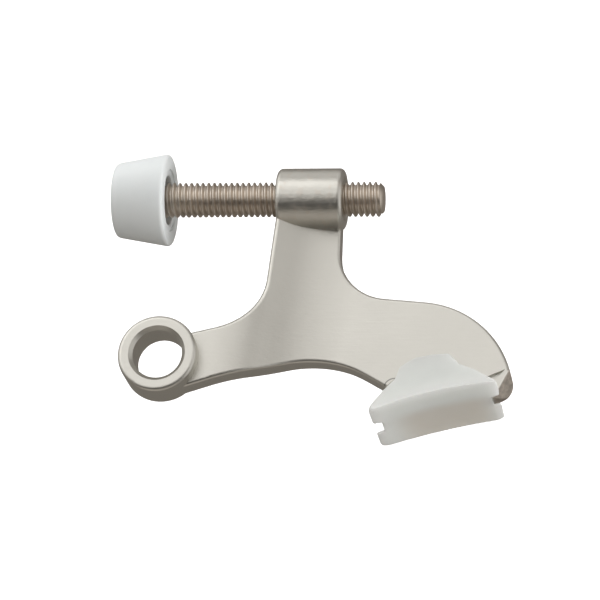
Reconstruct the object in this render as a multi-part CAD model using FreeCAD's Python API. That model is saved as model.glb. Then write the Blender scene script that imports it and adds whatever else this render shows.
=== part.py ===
import FreeCAD, Part
import math
import os

V = FreeCAD.Vector

# Hinge eye, the ring that drops over the hinge pin. Its axis is Z and its middle is the origin
eye_bore = 8.4
eye_outer = 13.4
eye_length = 6.5
eye_bore_chamfer = 0.65
eye_edge_round = 0.7

# Web, a plate of even thickness, flush with the back of the eye, that steps back on its way to the foot
web_thickness = 3.9
web_edge_round = 0.6
step_crown_radius = 15.5
step_hollow_radius = 26.0
step_angle = 30.0
step_lean = 8.0
step_distance = 16.1

# Web outline: where its arms leave the eye and the barrel, its corners and their radii
arm_inset = 0.3
arm_top_angle = 45.0
arm_bottom_angle = -58.0
crotch_reach = 16.4
crotch_height = 7.4
crotch_radius = 10.6
arch_setback = 18.9
arch_height = 2.65
arch_radius = 16.3
neck_left_inset = 0.4
neck_right_inset = 0.75
neck_waist_inset = 0.55
neck_height = 13.55
neck_radius = 8.5
shoulder_overhang = 8.7
shoulder_height = 11.2
shoulder_radius = 16.8

# Barrel, along X, flush with the back of the web's lower level
barrel_start = 18.0
barrel_length = 11.5
barrel_outer = 10.7
barrel_edge_round = 0.9
barrel_countersink = 0.8
rod_height = 30.3

# Foot: the middle of the pad's contact face, the face's slope, and the tongue and claw that hold the pad
foot_reach = 46.5
foot_drop = 7.25
foot_slope = 14.2
tongue_reach = 6.6
heel_height = 5.3
claw_width = 4.0
claw_round = 3.0
claw_lift = 0.05
claw_root_width = 3.1
claw_bevel_inset = 0.1
claw_bevel_height = 4.4
claw_bevel_lean = 49.5
claw_bevel_slope = 62.0
recess_depth = 0.65
recess_left_height = 4.35
recess_crest_offset = 4.0
recess_crest_height = 8.1
recess_claw_height = 3.9
recess_root_height = 4.4

# Adjusting rod, with its thread and the head that the bumper holds
rod_diameter = 6.0
thread_pitch = 1.0
thread_flank_angle = 30.0
thread_clearance = 0.06
rod_stickout = 6.7
rod_end_chamfer = 0.8
head_diameter = 10.0
head_thickness = 1.8
head_edge_round = 0.3

# Bumper, a rubber cone
bumper_gap = 18.95
bumper_length = 9.35
bumper_back_diameter = 16.1
bumper_front_diameter = 12.8
bumper_front_round = 0.9
bumper_back_round = 0.5
bumper_recess_diameter = 10.8
bumper_recess_depth = 0.35
bumper_throat_diameter = 8.5
bumper_throat_length = 1.85
head_clearance = 0.15

# Foot pad, a rubber wedge with a bowed, slightly hollow contact face
pad_length = 21.7
pad_depth = 21.8
pad_bow = 1.2
pad_height = 10.0
pad_end_height = 1.1
pad_end_round = 4.0
pad_top_left_reach = 4.3
pad_top_right_reach = 3.4
pad_top_round = 3.5
pad_top_bow = 0.1
pad_lip = 0.7
pad_sole = 2.0
pad_hollow = 0.5
pad_hip_round = 1.2
notch_depth = 1.45
pad_clearance = 0.1

# Levels and places that follow from the sizes above
web_front = web_thickness - eye_length / 2
step_drop = (step_crown_radius + step_hollow_radius) * (1 - math.cos(math.radians(step_angle)))
foot_front = web_front - step_drop
foot_back = foot_front - web_thickness
foot_level = foot_back + web_thickness / 2
rod_level = foot_back + barrel_outer / 2
barrel_end = barrel_start + barrel_length
rod_end = barrel_end + rod_stickout
bumper_back = barrel_start - bumper_gap
throat_end = bumper_back - bumper_recess_depth - bumper_throat_length
notch_wall = pad_length / 2 - notch_depth
claw_inner = notch_wall + pad_clearance
claw_reach = claw_inner + claw_width
claw_root = claw_inner + claw_root_width
arch_reach = foot_reach - arch_setback
span = 200.0
standing_limit = math.cos(math.radians(step_angle)) / 2

foot_middle = V(foot_reach, -foot_drop, foot_level)
foot_place = FreeCAD.Placement(foot_middle, FreeCAD.Rotation(V(0, 0, 1), foot_slope))


def rounded_outline(corners):
    """Closed wire in the XY plane through corners given as (x, y, radius)."""
    count = len(corners)
    points = [V(x, y, 0) for x, y, radius in corners]
    ends, arcs = [], []
    for i, (x, y, radius) in enumerate(corners):
        into = (points[i - 1] - points[i]).normalize()
        out = (points[(i + 1) % count] - points[i]).normalize()
        if radius:
            half = into.getAngle(out) / 2
            cut = radius / math.tan(half)
            middle = points[i] + (into + out).normalize() * (radius / math.sin(half) - radius)
            ends.append((points[i] + into * cut, points[i] + out * cut))
            arcs.append([Part.Arc(ends[i][0], middle, ends[i][1]).toShape()])
        else:
            ends.append((points[i], points[i]))
            arcs.append([])
    chain = []
    for i in range(count):
        chain += arcs[i]
        chain.append(Part.LineSegment(ends[i][1], ends[(i + 1) % count][0]).toShape())
    return Part.Wire(chain)


def prism(corners, low, high):
    """Solid between two levels with a rounded outline."""
    solid = Part.Face(rounded_outline(corners)).extrude(V(0, 0, high - low))
    solid.translate(V(0, 0, low))
    return solid


def turned(corners):
    """Solid of revolution about X, from corners given as (x, radius, round)."""
    return Part.Face(rounded_outline(corners)).revolve(V(), V(1, 0, 0), 360)


def drum(start, end, diameter, edge_round):
    """Cylinder along X with rounded rims."""
    radius = diameter / 2
    return turned([(start, 0, 0), (start, radius, edge_round), (end, radius, edge_round), (end, 0, 0)])


def bore(start, end, diameter, chamfer):
    """Cutter along X for a hole with a chamfer at each mouth."""
    radius = diameter / 2
    return turned([
        (start, 0, 0),
        (start, radius + chamfer, 0),
        (start + chamfer, radius, 0),
        (end - chamfer, radius, 0),
        (end, radius + chamfer, 0),
        (end, 0, 0),
    ])


def on_eye(solid):
    """The solid turned from the X axis to the eye's axis."""
    solid.rotate(V(), V(0, 1, 0), -90)
    return solid


def on_rod(solid):
    """The solid moved from the X axis to the rod's axis."""
    solid.translate(V(0, rod_height, rod_level))
    return solid


def on_foot(solid):
    """The solid moved to its place from the foot's frame, where Y points up into the arm."""
    solid.Placement = foot_place * solid.Placement
    return solid


def eye_point(angle):
    """A point just inside the rim of the eye."""
    radius = eye_outer / 2 - arm_inset
    return V(radius * math.cos(math.radians(angle)), radius * math.sin(math.radians(angle)), 0)


def recess_line(drop):
    """Line in the foot's frame where the foot grows to the web's thickness, lowered by a drop."""
    return [
        (claw_root, recess_root_height - drop, 0),
        (claw_inner, recess_claw_height - drop, 0),
        (-recess_crest_offset, recess_crest_height - drop, 0),
        (-pad_length / 2, recess_left_height - drop, 0),
    ]


def stepped_plate():
    """Plate of even thickness with the S-shaped step, wider than the outline."""
    turn = math.radians(step_angle)
    slant = V(math.sin(turn), 0, math.cos(turn))
    half_slant = V(math.sin(turn / 2), 0, math.cos(turn / 2))
    crown = V(step_distance, 0, web_front) - V(slant.x, 0, 1) * step_crown_radius
    hollow = V(step_distance, 0, foot_front) + V(slant.x, 0, 1) * step_hollow_radius

    def surface(depth):
        crown_radius = step_crown_radius - depth
        hollow_radius = step_hollow_radius + depth
        start = crown + V(0, 0, crown_radius)
        end = hollow - V(0, 0, hollow_radius)
        meet = crown + slant * crown_radius
        return [
            Part.LineSegment(start - V(span, 0, 0), start).toShape(),
            Part.Arc(start, crown + half_slant * crown_radius, meet).toShape(),
            Part.Arc(meet, hollow - half_slant * hollow_radius, end).toShape(),
            Part.LineSegment(end, end + V(span, 0, 0)).toShape(),
        ]

    front = surface(0)
    back = surface(web_thickness)
    sides = []
    for i in (0, -1):
        near, far = front[i].Vertexes[i].Point, back[i].Vertexes[i].Point
        sides.append(Part.LineSegment(near, far).toShape())
    edges = Part.__sortEdges__(front + back + sides)
    plate = Part.Face(Part.Wire(edges)).extrude(V(0, 2 * span, 0))
    plate.translate(V(0, -span, 0))
    plate.rotate(V(), V(0, 0, 1), -step_lean)
    return plate


def in_sight(point):
    """Whether a point of the web's rim lies clear of the eye, the barrel and the pad."""
    place = foot_place.inverse().multVec(point)
    in_eye = math.hypot(point.x, point.y) < eye_outer / 2
    in_barrel = point.y > rod_height - web_edge_round
    in_pad = place.y < heel_height and place.x < claw_inner + pad_clearance
    return not (in_eye or in_barrel or in_pad)


def middle_normal(face):
    """Outward direction at the middle of a face."""
    first, last, low, high = face.ParameterRange
    return face.normalAt((first + last) / 2, (low + high) / 2)


def crest_edges(solid):
    """Edges where a front or back face of the solid meets one that stands along Z."""
    edges = []
    for edge in solid.Edges:
        normals = [middle_normal(face) for face in solid.ancestorsOfType(edge, Part.Face)]
        if [abs(normal.z) < standing_limit for normal in normals].count(True) == 1:
            edges.append(edge)
    return edges


def middle_point(edge):
    """Point halfway along an edge."""
    return edge.valueAt((edge.FirstParameter + edge.LastParameter) / 2)


def web():
    """The arms, tongue and claw cut from the stepped plate, with rounded rims."""
    top = eye_point(arm_top_angle)
    bottom = eye_point(arm_bottom_angle)
    tongue_sole = pad_sole + pad_clearance
    tongue = [
        (-tongue_reach, heel_height, 0),
        (-tongue_reach, tongue_sole, 0),
        (claw_inner, tongue_sole, 0),
        (claw_inner, claw_lift, 0),
        (claw_reach, claw_lift, claw_round),
    ]
    outline = [
        (barrel_start + neck_left_inset, rod_height, 0),
        (crotch_reach, crotch_height, crotch_radius),
        (top.x, top.y, 0),
        (bottom.x, bottom.y, 0),
        (arch_reach, arch_height, arch_radius),
    ]
    for x, y, radius in tongue:
        point = foot_place.multVec(V(x, y, 0))
        outline.append((point.x, point.y, radius))
    outline += [
        (foot_reach + shoulder_overhang, shoulder_height, shoulder_radius),
        (barrel_end - neck_waist_inset, neck_height, neck_radius),
        (barrel_end - neck_right_inset, rod_height, 0),
    ]
    solid = stepped_plate().common(prism(outline, -span, span))
    rim = [edge for edge in crest_edges(solid) if in_sight(middle_point(edge))]
    return solid.makeFillet(web_edge_round, rim)


def foot_recess():
    """Cutters that thin the foot on both faces where the pad grips it."""
    corners = [(-pad_length / 2, pad_sole, 0), (claw_inner, pad_sole, 0)] + recess_line(0)
    floor = web_thickness / 2 - recess_depth
    return [on_foot(prism(corners, floor, web_thickness)), on_foot(prism(corners, -web_thickness, -floor))]


def claw_bevel():
    """Cutter that slopes the claw's outer corner back from a slanting line on its front."""
    block = Part.makeBox(span, span, span, V(-span / 2, -span / 2, 0))
    line = V(claw_reach - claw_bevel_inset, claw_bevel_height, web_thickness / 2)
    block.Placement = FreeCAD.Placement(line, FreeCAD.Rotation(claw_bevel_lean - 180, 0, -claw_bevel_slope))
    return on_foot(block)


def body_casting():
    """Eye, web, foot and barrel as one casting."""
    half = eye_length / 2
    eye = on_eye(drum(-half, half, eye_outer, eye_edge_round))
    barrel = on_rod(drum(barrel_start, barrel_end, barrel_outer, barrel_edge_round))
    solid = web().cut(foot_recess() + [claw_bevel()]).fuse([eye, barrel])
    eye_hole = on_eye(bore(-half, half, eye_bore, eye_bore_chamfer))
    thread_hole = bore(barrel_start, barrel_end, rod_diameter + 2 * thread_clearance, barrel_countersink)
    return solid.cut([eye_hole, on_rod(thread_hole)]).removeSplitter()


def thread_grooves():
    """Cutters for the thread as level rings, one to each pitch, from the bumper's throat to the rod's end."""
    crest = rod_diameter / 2
    half_root = thread_pitch / 8
    half_mouth = thread_pitch / 2 - thread_pitch / 16
    root = crest - (half_mouth - half_root) / math.tan(math.radians(thread_flank_angle))
    grooves = []
    for i in range(math.ceil((rod_end - throat_end) / thread_pitch)):
        middle = throat_end + (i + 1 / 2) * thread_pitch
        grooves.append(turned([
            (middle - half_root, root, 0),
            (middle - half_mouth, crest, 0),
            (middle - half_mouth, rod_diameter, 0),
            (middle + half_mouth, rod_diameter, 0),
            (middle + half_mouth, crest, 0),
            (middle + half_root, root, 0),
        ]))
    return grooves


def adjusting_rod():
    """Threaded rod with the head at its left end."""
    head_back = throat_end - head_clearance
    radius = rod_diameter / 2
    blank = turned([
        (head_back - head_thickness, 0, 0),
        (head_back - head_thickness, head_diameter / 2, head_edge_round),
        (head_back, head_diameter / 2, head_edge_round),
        (head_back, radius, 0),
        (rod_end - rod_end_chamfer, radius, 0),
        (rod_end, radius - rod_end_chamfer, 0),
        (rod_end, 0, 0),
    ])
    return on_rod(blank.cut(thread_grooves()))


def bumper():
    """Cone with a stepped recess at its back and a pocket for the rod's head."""
    front = bumper_back - bumper_length
    pocket_end = throat_end - head_thickness - 2 * head_clearance
    pocket = head_diameter / 2 + head_clearance
    recess_floor = bumper_back - bumper_recess_depth
    return on_rod(turned([
        (front, 0, 0),
        (front, bumper_front_diameter / 2, bumper_front_round),
        (bumper_back, bumper_back_diameter / 2, bumper_back_round),
        (bumper_back, bumper_recess_diameter / 2, 0),
        (recess_floor, bumper_recess_diameter / 2, 0),
        (recess_floor, bumper_throat_diameter / 2, 0),
        (throat_end, bumper_throat_diameter / 2, 0),
        (throat_end, pocket, 0),
        (pocket_end, pocket, 0),
        (pocket_end, 0, 0),
    ]))


def pad_section(height, half_depth, bow):
    """Level outline of the pad's ridge, longer than the pad, with its long edges bowed outward."""
    bow_radius = (pad_length ** 2 / 4 + bow ** 2) / (2 * bow)
    sag = bow_radius - math.sqrt(bow_radius ** 2 - pad_length ** 2)
    signs = ((-1, 1), (1, 1), (1, -1), (-1, -1))
    corners = [V(x * pad_length, height, z * (half_depth - sag)) for x, z in signs]
    return Part.Wire([
        Part.Arc(corners[0], V(0, height, half_depth), corners[1]).toShape(),
        Part.LineSegment(corners[1], corners[2]).toShape(),
        Part.Arc(corners[2], V(0, height, -half_depth), corners[3]).toShape(),
        Part.LineSegment(corners[3], corners[0]).toShape(),
    ])


def pad_blank():
    """The pad before its slot: a bowed ridge trimmed to a domed outline with soft hips."""
    half_length = pad_length / 2
    half_ridge = web_thickness / 2 + pad_clearance + pad_lip
    base = pad_section(0, pad_depth / 2, pad_bow)
    top = pad_section(pad_height, half_ridge, pad_top_bow)
    outline = [
        (-half_length, 0, 0),
        (half_length, 0, 0),
        (half_length, pad_end_height, pad_end_round),
        (pad_top_right_reach, pad_height, pad_top_round),
        (-pad_top_left_reach, pad_height, pad_top_round),
        (-half_length, pad_end_height, pad_end_round),
    ]
    solid = Part.makeLoft([base, top], True, True).common(prism(outline, -pad_depth, pad_depth))
    hips = [edge for edge in crest_edges(solid) if middle_point(edge).y > pad_clearance]
    return solid.makeFillet(pad_hip_round, hips)


def foot_pad():
    """Wedge with a slot for the foot, a notch in each end and a hollow contact face."""
    half_web = web_thickness / 2 + pad_clearance
    half_foot = half_web - recess_depth
    hollow_radius = (notch_wall ** 2 + pad_hollow ** 2) / (2 * pad_hollow)
    hollow = Part.makeCylinder(hollow_radius, pad_depth, V(0, pad_hollow - hollow_radius, -pad_depth / 2))
    arch = foot_place.inverse().multVec(V(arch_reach, arch_height, 0))
    tongue_slot = prism([
        (-tongue_reach - pad_clearance, pad_sole, 0),
        (pad_length, pad_sole, 0),
        (pad_length, arch.y, 0),
        (arch.x - pad_clearance, arch.y - pad_clearance, 0),
        (-tongue_reach - pad_clearance, heel_height - pad_clearance, 0),
    ], -half_foot, half_foot)
    over = [(-pad_length / 2, 2 * pad_height, 0), (claw_root, 2 * pad_height, 0)]
    web_slot = prism(recess_line(pad_clearance) + over, -half_web, half_web)
    notches = []
    for near, far in ((notch_wall, pad_length), (-pad_length, -notch_wall)):
        notch = Part.makeBox(far - near, 2 * pad_height, 2 * half_web, V(near, -pad_height, -half_web))
        notches.append(notch)
    return on_foot(pad_blank().cut([hollow, tongue_slot, web_slot] + notches))


os.makedirs("parts", exist_ok=True)
body_casting().exportStep("parts/body_casting.step")
adjusting_rod().exportStep("parts/adjusting_rod.step")
bumper().exportStep("parts/bumper.step")
foot_pad().exportStep("parts/foot_pad.step")
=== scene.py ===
"""Dresses the hinge pin door stop: satin nickel casting, threaded rod, white bumper and milky foot pad."""
import math

import bpy
from bpy.props import FloatProperty, FloatVectorProperty, IntProperty, PointerProperty
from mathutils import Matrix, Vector


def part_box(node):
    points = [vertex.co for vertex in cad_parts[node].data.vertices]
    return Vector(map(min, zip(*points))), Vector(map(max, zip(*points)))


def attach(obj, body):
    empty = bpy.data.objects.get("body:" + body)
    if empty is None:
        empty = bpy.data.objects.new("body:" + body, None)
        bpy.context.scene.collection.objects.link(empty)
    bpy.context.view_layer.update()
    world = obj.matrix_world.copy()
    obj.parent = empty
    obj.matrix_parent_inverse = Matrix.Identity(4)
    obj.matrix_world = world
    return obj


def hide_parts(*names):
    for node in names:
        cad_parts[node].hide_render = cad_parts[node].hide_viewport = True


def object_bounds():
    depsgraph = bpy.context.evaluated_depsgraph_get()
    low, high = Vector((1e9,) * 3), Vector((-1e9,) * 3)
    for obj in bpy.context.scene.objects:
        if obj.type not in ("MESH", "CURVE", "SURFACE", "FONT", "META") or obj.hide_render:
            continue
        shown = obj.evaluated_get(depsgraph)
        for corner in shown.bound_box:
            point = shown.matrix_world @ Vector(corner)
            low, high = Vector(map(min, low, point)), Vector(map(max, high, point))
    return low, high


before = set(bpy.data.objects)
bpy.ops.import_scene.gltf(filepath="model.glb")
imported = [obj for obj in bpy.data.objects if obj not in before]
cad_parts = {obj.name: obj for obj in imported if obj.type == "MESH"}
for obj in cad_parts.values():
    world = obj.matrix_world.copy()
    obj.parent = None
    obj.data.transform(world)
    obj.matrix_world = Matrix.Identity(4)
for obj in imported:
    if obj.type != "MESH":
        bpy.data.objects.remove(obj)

bl_info = {
    "name": "Hinge pin door stop",
    "version": (1, 0, 0),
    "blender": (4, 5, 0),
    "location": "View3D > Sidebar > Door stop",
    "description": "Dresses the hinge pin door stop and sets it in a small studio",
    "category": "Object",
}

CAD_BOX = [list(corner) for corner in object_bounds()]
ROD_LOW, ROD_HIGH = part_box("adjusting_rod")
ROD_AXIS = (ROD_LOW + ROD_HIGH) / 2

# Points nearer to each other than this become one
MERGE = 0.000001

# The hood's outline, along the contact face and up from it: its base, right wing, tab and left wing
HOOD = (
    (-0.0120, -0.0010), (0.0120, -0.0010),
    (0.0096, 0.0014), (0.0077, 0.0037), (0.0054, 0.0058),
    (0.0046, 0.0079), (0.0041, 0.0089), (0.0014, 0.0095),
    (-0.0015, 0.0097), (-0.0032, 0.0090), (-0.0045, 0.0081),
    (-0.0055, 0.0057), (-0.0077, 0.0038), (-0.0099, 0.0016), (-0.0120, -0.0006),
)

# The rough end of the claw, along the contact face and up from it, with a fade at its edge and at its top
CLAW_EDGE = Vector((0.0134, 0.0044))
CLAW_FACING = Vector((0.76, -0.65))
CLAW_FADE = (-0.0001, 0.0002)
CLAW_TOP = (0.0042, 0.0055)

# Painted shade: a dark curved line beside the pad's left wing, on the front face of the foot, where a step
# that the casting's shape lacks would be shaded
STEP_SHADE_MIDDLE = Vector((-0.0061, 0.0055))
STEP_SHADE_RADIUS = 0.00183
STEP_SHADE_HALF_WIDTH = 0.0001414
FRONT_FACE = (0.0016, 0.0019)

# Where the tongue inside the pad fades out: along the contact face, up from it and towards the front
TONGUE_LEFT = (-0.009, -0.003)
TONGUE_RIGHT = (0.006, 0.011)
TONGUE_TOP = (0.001, 0.004)
TONGUE_FRONT = (0.0, 0.0045)

# Where the stains on the barrel fade out, below the rod's axis
STAIN_LOW = 0.0062
STAIN_HIGH = 0.0052

WHITE = (1.0, 1.0, 1.0)


# Sizes and colours that a user would change

class RodSizes(bpy.types.PropertyGroup):
    """Sizes of the threaded rod."""

    diameter: FloatProperty(
        name="Diameter", description="Across the thread's crests", default=0.006, unit="LENGTH")
    pitch: FloatProperty(
        name="Pitch", description="From one crest to the next", default=0.001, unit="LENGTH")
    depth: FloatProperty(
        name="Depth", description="From crest to root", default=0.00055, unit="LENGTH")
    flat: FloatProperty(
        name="Flat", description="Over 1, crests and roots are cut flat", default=1.35, min=1.0)
    chamfer: FloatProperty(
        name="Chamfer", description="At the rod's free end", default=0.0008, unit="LENGTH")
    head: FloatProperty(
        name="Head", description="Thickness of the head", default=0.0018, unit="LENGTH")
    sides: IntProperty(name="Sides", description="Facets round the rod", default=48, min=12)
    waves: IntProperty(name="Profile", description="Points along one pitch", default=10, min=6)


class BumperSizes(bpy.types.PropertyGroup):
    """Sizes of the rubber bumper, from its back."""

    front: FloatProperty(
        name="Front", description="Diameter of the front", default=0.0128, unit="LENGTH")
    back: FloatProperty(
        name="Back", description="Diameter of the back", default=0.0161, unit="LENGTH")
    recess: FloatProperty(
        name="Recess", description="Diameter of the recess", default=0.0108, unit="LENGTH")
    recess_depth: FloatProperty(
        name="Recess depth", description="Depth of the recess", default=0.00035, unit="LENGTH")
    throat: FloatProperty(
        name="Throat", description="Diameter of the throat", default=0.0085, unit="LENGTH")
    throat_depth: FloatProperty(
        name="Throat depth", description="From the back to the pocket", default=0.0022, unit="LENGTH")
    pocket: FloatProperty(
        name="Pocket", description="Diameter of the pocket", default=0.0103, unit="LENGTH")
    pocket_depth: FloatProperty(
        name="Pocket depth", description="Length of the pocket", default=0.0021, unit="LENGTH")
    rim: FloatProperty(
        name="Rim", description="Round of the outer rims", default=0.0008, unit="LENGTH")
    lip: FloatProperty(
        name="Lip", description="Round of the inner edges", default=0.00012, unit="LENGTH")
    sides: IntProperty(name="Sides", description="Facets round the bumper", default=96, min=24)


class PadSizes(bpy.types.PropertyGroup):
    """Place and sizes of the foot pad."""

    foot: FloatVectorProperty(
        name="Foot", description="Middle of the contact face", default=(0.0465, -0.00725, -0.00686),
        subtype="TRANSLATION")
    slope: FloatProperty(
        name="Slope", description="Slope of the contact face", default=math.radians(14.2), subtype="ANGLE")
    grain: FloatProperty(
        name="Grain", description="Size of the skin's facets", default=0.00016, unit="LENGTH")
    soft: IntProperty(name="Soft", description="Smoothing of all edges", default=8, min=0)
    length: FloatProperty(
        name="Length", description="Over the lobes", default=0.02168, unit="LENGTH")
    depth: FloatProperty(
        name="Depth", description="From front to back at the middle", default=0.0218, unit="LENGTH")
    bow: FloatProperty(
        name="Bow", description="Bow of the long edges", default=0.0012, unit="LENGTH")
    lobe: FloatProperty(
        name="Lobe", description="Round of the lobes", default=0.0016, unit="LENGTH")
    notch: FloatProperty(
        name="Notch", description="Half the width of the notches", default=0.0021, unit="LENGTH")
    notch_wall: FloatProperty(
        name="Notch wall", description="From the middle to a notch", default=0.00938, unit="LENGTH")
    flare: FloatProperty(
        name="Flare", description="How far the free notch widens", default=0.0072, unit="LENGTH")
    tall: FloatProperty(
        name="Tall", description="Height of the flare", default=0.003, unit="LENGTH")


class FinishColours(bpy.types.PropertyGroup):
    """Colours of the finishes."""

    nickel: FloatVectorProperty(
        name="Nickel", description="Satin nickel on the casting", default=(0.755, 0.742, 0.69),
        subtype="COLOR")
    rough: FloatVectorProperty(
        name="Claw end", description="Rough end of the claw", default=(0.74, 0.68, 0.61),
        subtype="COLOR")
    thread: FloatVectorProperty(
        name="Thread", description="Duller plating on the rod", default=(0.76, 0.69, 0.61),
        subtype="COLOR")
    bumper: FloatVectorProperty(
        name="Bumper", description="White rubber", default=(0.88, 0.925, 0.94), subtype="COLOR")
    pad: FloatVectorProperty(
        name="Pad", description="Milky rubber", default=(0.75, 0.775, 0.755), subtype="COLOR")
    tongue: FloatVectorProperty(
        name="Tongue", description="Metal that shows through the pad", default=(0.60, 0.54, 0.46),
        subtype="COLOR")


class StageSettings(bpy.types.PropertyGroup):
    """Floor, lights and camera."""

    drop: FloatProperty(
        name="Drop", description="From the part's lowest point to the floor", default=0.045, unit="LENGTH")
    key: FloatProperty(
        name="Key", description="Power of the softbox above the camera", default=1.6, unit="POWER")
    strip: FloatProperty(
        name="Strip", description="Power of the bright strip in the key", default=0.16, unit="POWER")
    side: FloatProperty(
        name="Side", description="Power of the softbox at the upper left", default=1.6, unit="POWER")
    top: FloatProperty(
        name="Top", description="Power of the overhead strip", default=0.5, unit="POWER")
    sky: FloatProperty(
        name="Sky", description="Power of the overhead fill on the rubber", default=2.2, unit="POWER")
    right: FloatProperty(
        name="Right", description="Power of the fill at the right", default=1.1, unit="POWER")
    fill: FloatProperty(
        name="Fill", description="Power of the low fill on the rubber", default=3.8, unit="POWER")
    low: FloatProperty(
        name="Low", description="Power of the low fill", default=0.4, unit="POWER")
    warm: FloatVectorProperty(
        name="Warm", description="Colour of the low light", default=(1.0, 0.92, 0.83), subtype="COLOR")
    room: FloatProperty(
        name="Room", description="Brightness of the room on the part", default=0.20)
    backdrop: FloatProperty(
        name="Backdrop", description="Brightness of the room behind the part", default=0.85)
    lens: FloatProperty(name="Lens", description="Focal length", default=180.0, unit="CAMERA")
    eye: FloatVectorProperty(
        name="Eye", description="Where the camera stands", default=(0.10035, -0.16597, 0.46589),
        subtype="TRANSLATION")
    tilt: FloatVectorProperty(
        name="Tilt", description="How the camera is turned",
        default=(math.radians(20.5), math.radians(9.4), math.radians(3.3)), subtype="EULER")


# Node sums

class Link:
    """The output of a shader node, on which arithmetic adds Math nodes."""

    def __init__(self, tree, socket):
        self.tree = tree
        self.socket = socket

    def node(self, kind, settings=None, inputs=None, output=0):
        """Adds a node with its settings and the values or links of its sockets."""
        made = self.tree.nodes.new(kind)
        for name, value in (settings or {}).items():
            setattr(made, name, value)
        for name, value in (inputs or {}).items():
            if isinstance(value, Link):
                self.tree.links.new(value.socket, made.inputs[name])
            else:
                made.inputs[name].default_value = value
        return Link(self.tree, made.outputs[output])

    def maths(self, operation, first, second):
        """Adds a Math node."""
        return self.node("ShaderNodeMath", {"operation": operation}, {0: first, 1: second})

    def __add__(self, other):
        return self.maths("ADD", self, other)

    __radd__ = __add__

    def __sub__(self, other):
        return self.maths("SUBTRACT", self, other)

    def __rsub__(self, other):
        return self.maths("SUBTRACT", other, self)

    def __mul__(self, other):
        return self.maths("MULTIPLY", self, other)

    __rmul__ = __mul__

    def root(self):
        """Square root."""
        return self.maths("POWER", self, 0.5)

    def between(self, low, high):
        """0 below low, 1 above high and a smooth rise between them."""
        return self.node(
            "ShaderNodeMapRange", {"interpolation_type": "SMOOTHSTEP"},
            {"Value": self, "From Min": low, "From Max": high})

    def axes(self):
        """The three parts of a vector."""
        parts = self.node("ShaderNodeSeparateXYZ", inputs={"Vector": self}).socket.node.outputs
        return [Link(self.tree, part) for part in parts]

    def blend(self, first, second):
        """Colour that goes from first to second as this goes from 0 to 1."""
        return self.node(
            "ShaderNodeMix", {"data_type": "RGBA"}, {"Factor": self, 6: first, 7: second}, output=2)


class Finish:
    """A material with one main shader, whose constants are set on its sockets."""

    def __init__(self, name, **constants):
        self.material = bpy.data.materials.new(name)
        self.material.use_nodes = True
        tree = self.material.node_tree
        tree.nodes.clear()
        self.shader = tree.nodes.new("ShaderNodeBsdfPrincipled")
        output = tree.nodes.new("ShaderNodeOutputMaterial")
        tree.links.new(self.shader.outputs[0], output.inputs["Surface"])
        for socket, value in constants.items():
            self.shader.inputs[socket.replace("_", " ").title()].default_value = value
        self.place = Link(tree, tree.nodes.new("ShaderNodeTexCoord").outputs["Object"])

    def feed(self, socket, link):
        """Links a sum to a socket of the main shader."""
        link.tree.links.new(link.socket, self.shader.inputs[socket])

    def noise(self, fineness, detail, stretch=1.0, turn=0.0):
        """Noise with so many grains to the metre, drawn out by a stretch along its first axis."""
        scale = (fineness / stretch, fineness, fineness)
        spot = self.place.node(
            "ShaderNodeMapping", inputs={"Vector": self.place, "Rotation": (0, 0, turn), "Scale": scale})
        return spot.node("ShaderNodeTexNoise", inputs={"Vector": spot, "Scale": 1.0, "Detail": detail})

    def foot_axes(self, pad):
        """Place over the foot: along the contact face, up into the arm and towards the front."""
        spot = self.place.node(
            "ShaderNodeMapping", {"vector_type": "TEXTURE"},
            {"Vector": self.place, "Location": pad.foot, "Rotation": (0, 0, pad.slope)})
        return spot.axes()

    def bump(self, height, depth):
        """Raises the surface by a height from 0 to 1, over a depth."""
        self.feed("Normal", height.node("ShaderNodeBump", inputs={"Height": height, "Distance": depth}))


def tone(values, factor=1.0):
    """A colour for a socket, made darker by a factor."""
    return (*(value * factor for value in values), 1.0)


# Modelling steps

def deselect():
    """Lets go of everything."""
    bpy.ops.object.select_all(action="DESELECT")


def pick(piece):
    """Selects one piece alone."""
    deselect()
    piece.select_set(True)
    bpy.context.view_layer.objects.active = piece


def modify(piece, kind, **settings):
    """Adds a modifier, sets it and applies it."""
    pick(piece)
    bpy.ops.object.modifier_add(type=kind)
    modifier = piece.modifiers[-1]
    for name, value in settings.items():
        setattr(modifier, name, value)
    bpy.ops.object.modifier_apply(modifier=modifier.name)


def edit(piece):
    """Opens a piece for editing with all of it selected."""
    pick(piece)
    bpy.ops.object.mode_set(mode="EDIT")
    bpy.ops.mesh.select_all(action="SELECT")


def seal(piece):
    """Merges doubled points, closes open ends and turns the faces outwards."""
    edit(piece)
    bpy.ops.mesh.remove_doubles(threshold=MERGE)
    bpy.ops.mesh.fill_holes(sides=0)
    bpy.ops.mesh.select_all(action="SELECT")
    bpy.ops.mesh.normals_make_consistent(inside=False)
    bpy.ops.object.mode_set(mode="OBJECT")


def profile(corners, steps=6):
    """Points through corners given as (x, y, round), each round drawn in so many steps."""
    points = []
    for i, (x, y, fillet) in enumerate(corners):
        corner = Vector((x, y))
        if not fillet:
            points.append(corner)
            continue
        before = Vector(corners[i - 1][:2]) - corner
        after = Vector(corners[i + 1][:2]) - corner
        start = corner + before.normalized() * fillet
        end = corner + after.normalized() * fillet
        for step in range(steps + 1):
            t = step / steps
            points.append((1 - t) ** 2 * start + 2 * t * (1 - t) * corner + t ** 2 * end)
    return points


def trace(name, points, place):
    """Draws a line through points from a place, and leaves it open for editing."""
    deselect()
    bpy.ops.mesh.primitive_plane_add(size=1, location=place)
    piece = bpy.context.object
    piece.name = piece.data.name = name
    edit(piece)
    bpy.ops.mesh.merge(type="CENTER")
    bpy.ops.transform.translate(value=(*points[0], 0))
    for before, after in zip(points, points[1:]):
        bpy.ops.mesh.extrude_region_move(TRANSFORM_OT_translate={"value": (*(after - before), 0)})
    return piece


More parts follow.
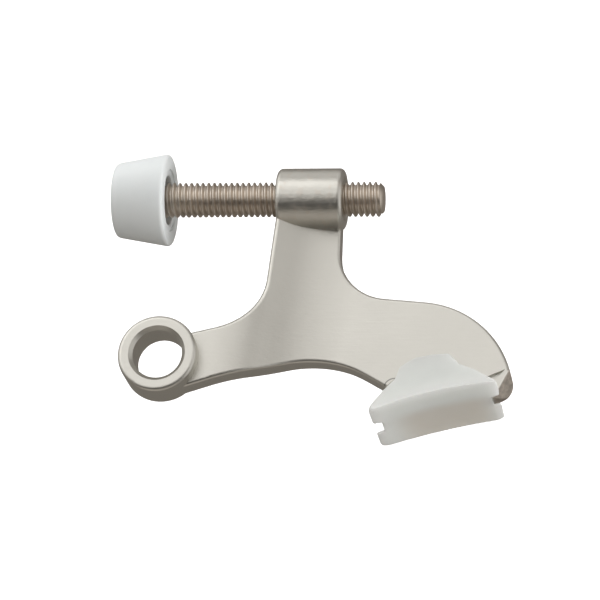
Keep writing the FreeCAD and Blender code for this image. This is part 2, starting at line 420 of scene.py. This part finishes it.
def prism(name, points, place, depth):
    """Fills an outline and draws it out to both sides of a place."""
    piece = trace(name, points, place)
    bpy.ops.mesh.select_all(action="SELECT")
    bpy.ops.mesh.edge_face_add()
    bpy.ops.transform.translate(value=(0, 0, -depth))
    bpy.ops.mesh.extrude_region_move(TRANSFORM_OT_translate={"value": (0, 0, 2 * depth)})
    bpy.ops.object.mode_set(mode="OBJECT")
    seal(piece)
    return piece


def carve(piece, tool, operation):
    """Cuts a piece with a tool, and clears the tool away."""
    modify(piece, "BOOLEAN", operation=operation, object=tool, solver="EXACT")
    pick(tool)
    bpy.ops.object.delete()


def lathe(name, points, sides, turns=1, lead=0.0):
    """Turns a profile about the rod's axis, into a helix where there is a lead."""
    piece = trace(name, points, (0, ROD_AXIS.y, ROD_AXIS.z))
    bpy.ops.object.mode_set(mode="OBJECT")
    modify(piece, "SCREW", axis="X", angle=2 * math.pi, screw_offset=lead, iterations=turns,
           steps=sides, render_steps=sides, use_merge_vertices=False)
    seal(piece)
    return piece


def settle(piece, finish, node, body, angle):
    """Finishes a piece: its place goes into its mesh, and it stands for a CAD node."""
    pick(piece)
    bpy.ops.object.transform_apply(location=True, rotation=True, scale=True)
    bpy.ops.object.shade_smooth_by_angle(angle=math.radians(angle))
    piece.data.materials.clear()
    piece.data.materials.append(finish.material)
    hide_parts(node)
    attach(piece, body)


# Pieces

class DOORSTOP_OT_casting(bpy.types.Operator):
    """Gives the casting its satin nickel finish, with a rough end on the claw"""

    bl_idname = "doorstop.casting"
    bl_label = "Finish casting"

    def claw_end(self, along, up):
        """1 on the rough end of the claw, fading out up the arm."""
        outside = CLAW_FACING.x * (along - CLAW_EDGE.x) + CLAW_FACING.y * (up - CLAW_EDGE.y)
        return outside.between(*CLAW_FADE) * (1 - up.between(*CLAW_TOP))

    def painted_step_shade(self, along, up, front):
        """1 on the painted shade line, where a step in the foot's front face would be shaded; on the front
        face only.
        """
        across = along - STEP_SHADE_MIDDLE.x
        height = up - STEP_SHADE_MIDDLE.y
        reach = (across * across + height * height).root() - STEP_SHADE_RADIUS
        return front.between(*FRONT_FACE) * (1 - (reach * reach).between(0, STEP_SHADE_HALF_WIDTH ** 2))

    def execute(self, context):
        colours = context.scene.doorstop_colours
        finish = Finish("satin_nickel", metallic=1.0)
        cloud = finish.noise(90, 3.0)
        brush = finish.noise(2600, 3.0, stretch=16.25, turn=math.radians(-8))
        peel = finish.noise(1100, 2.0)
        crumb = finish.noise(900, 4.0)
        along, up, front = finish.foot_axes(context.scene.doorstop_pad)
        rough = self.claw_end(along, up)
        barrel = finish.place.axes()[1].between(ROD_AXIS.y - STAIN_LOW, ROD_AXIS.y - STAIN_HIGH)
        stain = barrel * crumb.between(0.52, 0.68)
        nickel = cloud.between(0.3, 0.7).blend(tone(colours.nickel, 0.96), tone(colours.nickel))
        nickel = (0.35 * stain).blend(nickel, tone(colours.thread))
        # Painted shade: darkens the nickel to 0.4 along the curved line where a step in the foot's front
        # face would be shaded
        nickel = self.painted_step_shade(along, up, front).blend(nickel, tone(colours.nickel, 0.4))
        broken = crumb.between(0.35, 0.7).blend(tone(colours.rough, 0.7), tone(colours.rough))
        finish.feed("Base Color", rough.blend(nickel, broken))
        finish.feed("Roughness", 0.30 + 0.08 * brush + 0.06 * cloud + 0.22 * rough + 0.06 * stain)
        finish.bump(0.5 * brush + 0.7 * peel + (1.6 * barrel + 6.0 * rough) * crumb, 0.00003)
        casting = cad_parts["body_casting"].data
        casting.materials.clear()
        casting.materials.append(finish.material)
        return {"FINISHED"}


class DOORSTOP_OT_rod(bpy.types.Operator):
    """Makes the threaded rod, whose ringed CAD node it stands for"""

    bl_idname = "doorstop.rod"
    bl_label = "Make threaded rod"

    def wave(self, sizes, start):
        """One pitch of the thread, from root to crest to root."""
        points = []
        for step in range(sizes.waves + 1):
            swing = max(-1.0, min(1.0, sizes.flat * math.cos(2 * math.pi * step / sizes.waves)))
            radius = sizes.diameter / 2 - sizes.depth * (1 + swing) / 2
            points.append(Vector((start + step * sizes.pitch / sizes.waves, radius)))
        return points

    def execute(self, context):
        sizes = context.scene.doorstop_rod
        crest = sizes.diameter / 2
        neck = ROD_LOW.x + sizes.head
        end = ROD_HIGH.x
        spare = 1.5 * sizes.pitch
        turns = math.ceil((end - neck + 2 * spare) / sizes.pitch)
        rod = lathe("threaded_rod", self.wave(sizes, neck - spare), sizes.sides, turns, sizes.pitch)
        inside_head = neck - sizes.head / 2
        trim = lathe("trim", profile([
            (inside_head, 0, 0),
            (inside_head, crest, 0),
            (end - sizes.chamfer, crest, 0),
            (end, crest - sizes.chamfer, 0),
            (end, 0, 0),
        ]), 2 * sizes.sides)
        carve(rod, trim, "INTERSECT")
        rim = (ROD_HIGH.y - ROD_LOW.y) / 2
        soft = sizes.head / 6
        head = lathe("head", profile([
            (ROD_LOW.x, 0, 0),
            (ROD_LOW.x, rim, soft),
            (neck, rim, soft),
            (neck, 0, 0),
        ]), sizes.sides)
        pick(rod)
        head.select_set(True)
        bpy.ops.object.join()
        thread = context.scene.doorstop_colours.thread
        finish = Finish("plated_thread", metallic=1.0)
        cloud = finish.noise(300, 3.0)
        finish.feed("Base Color", cloud.between(0.3, 0.7).blend(tone(thread, 0.85), tone(thread)))
        finish.feed("Roughness", 0.33 + 0.16 * cloud)
        settle(rod, finish, node="adjusting_rod", body="rod", angle=50)
        return {"FINISHED"}


class DOORSTOP_OT_bumper(bpy.types.Operator):
    """Makes the white rubber bumper with soft rims"""

    bl_idname = "doorstop.bumper"
    bl_label = "Make bumper"

    def execute(self, context):
        sizes = context.scene.doorstop_bumper
        low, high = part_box("bumper")
        front = low.x
        back = high.x
        recess_end = back - sizes.recess_depth
        throat_end = back - sizes.throat_depth
        pocket_end = throat_end - sizes.pocket_depth
        bumper = lathe("rubber_bumper", profile([
            (front, 0, 0),
            (front, sizes.front / 2, sizes.rim),
            (back, sizes.back / 2, sizes.rim),
            (back, sizes.recess / 2, sizes.lip),
            (recess_end, sizes.recess / 2, sizes.lip),
            (recess_end, sizes.throat / 2, sizes.lip),
            (throat_end, sizes.throat / 2, 0),
            (throat_end, sizes.pocket / 2, 0),
            (pocket_end, sizes.pocket / 2, 0),
            (pocket_end, 0, 0),
        ]), sizes.sides)
        white = context.scene.doorstop_colours.bumper
        finish = Finish(
            "white_rubber", subsurface_weight=0.4, subsurface_radius=(1, 1, 1), subsurface_scale=0.0015)
        cloud = finish.noise(250, 3.0)
        finish.feed("Base Color", cloud.between(0.35, 0.65).blend(tone(white, 0.98), tone(white)))
        finish.feed("Roughness", 0.42 + 0.12 * cloud)
        finish.bump(finish.noise(2200, 2.0), 0.00001)
        settle(bumper, finish, node="bumper", body="bumper", angle=40)
        return {"FINISHED"}


class DOORSTOP_OT_pad(bpy.types.Operator):
    """Makes the milky foot pad with its hood, soft edges and rounded ends"""

    bl_idname = "doorstop.pad"
    bl_label = "Make foot pad"

    def cut(self, pad, sizes, operation, corners, depth, turn=(0.0, 0.0), shift=0.0):
        """Cuts the pad with a prism that is turned to the foot's slope and shifted along it."""
        along = Vector((math.cos(sizes.slope), math.sin(sizes.slope), 0))
        place = Vector(sizes.foot) + along * shift
        tool = prism("tool", [Vector(corner) for corner in corners], place, depth)
        tool.rotation_euler = (*turn, sizes.slope)
        carve(pad, tool, operation)

    def plan(self, sizes):
        """The pad seen from below: bowed long edges, and two rounded lobes and a notch at each end."""
        tip = sizes.length / 2
        side = sizes.depth / 2
        clear_of_side = 1.1 * side
        shoulder = 0.65 * tip
        shoulder_bow = 0.35 * sizes.bow
        inner_lobe = 0.7 * sizes.lobe
        quarter = [
            (0, clear_of_side, 0),
            (shoulder, side - shoulder_bow, 0),
            (tip, side - sizes.bow, sizes.lobe),
            (tip, sizes.notch, inner_lobe),
            (sizes.notch_wall, sizes.notch, 0),
        ]
        right = quarter + [(x, -y, fillet) for x, y, fillet in reversed(quarter)]
        left = [(-x, y, fillet) for x, y, fillet in reversed(right)]
        return profile(right + left)

    def free_notch(self, sizes):
        """The left notch seen from its end, which widens upwards."""
        half = sizes.notch
        wide = half + sizes.flare
        tall = sizes.tall
        return [(-half, -half), (half, -half), (half, 0), (wide, tall), (-wide, tall), (-half, 0)]

    def tongue(self, along, up, front):
        """1 where the casting's tongue shows through the rubber, fading out on each side of it."""
        sides = along.between(*TONGUE_LEFT) * (1 - along.between(*TONGUE_RIGHT))
        return sides * (1 - up.between(*TONGUE_TOP)) * (1 - front.between(*TONGUE_FRONT))

    def execute(self, context):
        sizes = context.scene.doorstop_pad
        colours = context.scene.doorstop_colours
        pick(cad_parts["foot_pad"])
        bpy.ops.object.duplicate()
        pad = context.object
        pad.name = pad.data.name = "rubber_pad"
        edit(pad)
        bpy.ops.mesh.remove_doubles(threshold=MERGE)
        bpy.ops.object.mode_set(mode="OBJECT")
        upright = math.pi / 2
        self.cut(pad, sizes, "INTERSECT", HOOD, sizes.depth)
        self.cut(pad, sizes, "INTERSECT", self.plan(sizes), sizes.depth, turn=(upright, 0.0))
        self.cut(pad, sizes, "DIFFERENCE", self.free_notch(sizes), sizes.tall, turn=(0.0, upright),
                 shift=-sizes.notch_wall - sizes.tall)
        modify(pad, "REMESH", mode="VOXEL", voxel_size=sizes.grain)
        modify(pad, "SMOOTH", factor=0.5, iterations=sizes.soft)
        finish = Finish(
            "milky_rubber", subsurface_weight=1.0, subsurface_radius=(1, 1, 1), subsurface_scale=0.004)
        cloud = finish.noise(250, 3.0)
        tongue = self.tongue(*finish.foot_axes(sizes))
        milk = cloud.between(0.35, 0.65).blend(tone(colours.pad, 0.98), tone(colours.pad))
        finish.feed("Base Color", (0.55 * tongue).blend(milk, tone(colours.tongue)))
        finish.feed("Roughness", 0.34 + 0.12 * cloud)
        settle(pad, finish, node="foot_pad", body="arm", angle=60)
        return {"FINISHED"}


class DOORSTOP_OT_stage(bpy.types.Operator):
    """Sets the floor, the soft light and the camera"""

    bl_idname = "doorstop.stage"
    bl_label = "Set stage"

    def facing(self, place, aim):
        """The turn that points a lamp or a card at an aim."""
        return (aim - Vector(place)).to_track_quat("-Z", "Y").to_euler()

    def floor(self, place):
        """Pale floor, which lights nothing."""
        bpy.ops.mesh.primitive_plane_add(size=8, location=place)
        floor = bpy.context.object
        floor.name = "floor"
        finish = Finish("pale_floor", base_color=tone(WHITE, 0.9), roughness=0.8,
                        emission_color=tone(WHITE), emission_strength=0.8)
        floor.data.materials.append(finish.material)
        floor.visible_glossy = floor.visible_diffuse = False

    def card(self, place, width, height, aim):
        """Black card beside the camera, which only the metal sees."""
        bpy.ops.mesh.primitive_plane_add(size=1, location=place)
        card = bpy.context.object
        card.name = "black_card"
        card.scale = (width, height, 1)
        card.rotation_euler = self.facing(place, aim)
        finish = Finish("black_card", base_color=tone(WHITE, 0.0), roughness=1.0)
        card.data.materials.append(finish.material)
        card.visible_camera = card.visible_diffuse = card.visible_shadow = False

    def softbox(self, name, place, width, height, power, aim, tint=WHITE, mirrored=True):
        """Soft lamp that the camera doesn't see, nor the metal where it isn't mirrored."""
        bpy.ops.object.light_add(type="AREA", location=place)
        lamp = bpy.context.object
        lamp.name = name
        lamp.rotation_euler = self.facing(place, aim)
        lamp.data.shape = "RECTANGLE"
        lamp.data.size = width
        lamp.data.size_y = height
        lamp.data.energy = power
        lamp.data.color = tint
        lamp.visible_camera = False
        lamp.visible_glossy = mirrored

    def room(self, scene, settings):
        """White room behind the part, whose warm light on it is weaker."""
        world = bpy.data.worlds.new("studio")
        world.use_nodes = True
        scene.world = world
        tree = world.node_tree
        seen = Link(tree, tree.nodes.new("ShaderNodeLightPath").outputs["Is Camera Ray"])
        strength = settings.room + seen * (settings.backdrop - settings.room)
        tint = seen.blend(tone(settings.warm), tone(WHITE))
        tree.links.new(strength.socket, tree.nodes["Background"].inputs["Strength"])
        tree.links.new(tint.socket, tree.nodes["Background"].inputs["Color"])

    def camera(self, scene, settings):
        """Long lens above the part, a little to its right."""
        bpy.ops.object.camera_add(location=settings.eye)
        camera = bpy.context.object
        camera.name = "camera"
        camera.rotation_mode = "ZXY"
        camera.rotation_euler = settings.tilt
        camera.data.lens = settings.lens
        camera.data.sensor_width = 36
        camera.data.clip_start = 0.01
        scene.camera = camera

    def execute(self, context):
        settings = context.scene.doorstop_stage
        low, high = (Vector(corner) for corner in CAD_BOX)
        middle = (low + high) / 2
        deselect()
        self.floor((middle.x, middle.y, low.z - settings.drop))
        self.softbox("key", (-0.08, 0.26, 0.54), 1.0, 0.75, settings.key, middle)
        self.softbox("strip", (-0.10, 0.45, 0.50), 0.5, 0.2, settings.strip, middle)
        self.softbox("side", (-0.58, 0.35, 0.30), 0.9, 0.9, settings.side, middle)
        self.softbox("top", (0.0, 0.65, 0.05), 1.0, 0.35, settings.top, middle)
        self.softbox("right", (0.60, 0.02, 0.14), 0.8, 0.9, settings.right, middle)
        self.softbox("sky", (-0.30, 0.62, 0.08), 0.6, 0.6, settings.sky, middle, mirrored=False)
        self.softbox("fill", (0.66, -0.20, 0.05), 0.6, 0.4, settings.fill, middle, mirrored=False)
        self.softbox("low", (0.0, -0.60, 0.0), 1.0, 0.5, settings.low, middle, tint=settings.warm)
        self.card((0.12, -0.50, 0.63), 1.6, 0.45, middle)
        self.room(context.scene, settings)
        self.camera(context.scene, settings)
        context.scene.view_settings.view_transform = "Standard"
        return {"FINISHED"}


class DOORSTOP_PT_panel(bpy.types.Panel):
    """Sizes, colours and steps of the door stop"""

    bl_label = "Door stop"
    bl_idname = "DOORSTOP_PT_panel"
    bl_space_type = "VIEW_3D"
    bl_region_type = "UI"
    bl_category = "Door stop"

    def draw(self, context):
        layout = self.layout
        for name in GROUPS:
            group = getattr(context.scene, name)
            box = layout.box()
            for setting in group.__annotations__:
                box.prop(group, setting)
        for step in STEPS:
            layout.operator(step.bl_idname)


GROUPS = {
    "doorstop_rod": RodSizes,
    "doorstop_bumper": BumperSizes,
    "doorstop_pad": PadSizes,
    "doorstop_colours": FinishColours,
    "doorstop_stage": StageSettings,
}
STEPS = (DOORSTOP_OT_casting, DOORSTOP_OT_rod, DOORSTOP_OT_bumper, DOORSTOP_OT_pad, DOORSTOP_OT_stage)
CLASSES = (*GROUPS.values(), *STEPS, DOORSTOP_PT_panel)


def register():
    for item in CLASSES:
        bpy.utils.register_class(item)
    for name, group in GROUPS.items():
        setattr(bpy.types.Scene, name, PointerProperty(type=group))


def unregister():
    for name in GROUPS:
        delattr(bpy.types.Scene, name)
    for item in reversed(CLASSES):
        bpy.utils.unregister_class(item)


def main():
    """Registers the add-on and makes every piece and the stage."""
    register()
    bpy.ops.doorstop.casting()
    bpy.ops.doorstop.rod()
    bpy.ops.doorstop.bumper()
    bpy.ops.doorstop.pad()
    bpy.ops.doorstop.stage()


if __name__ == "__main__":
    main()
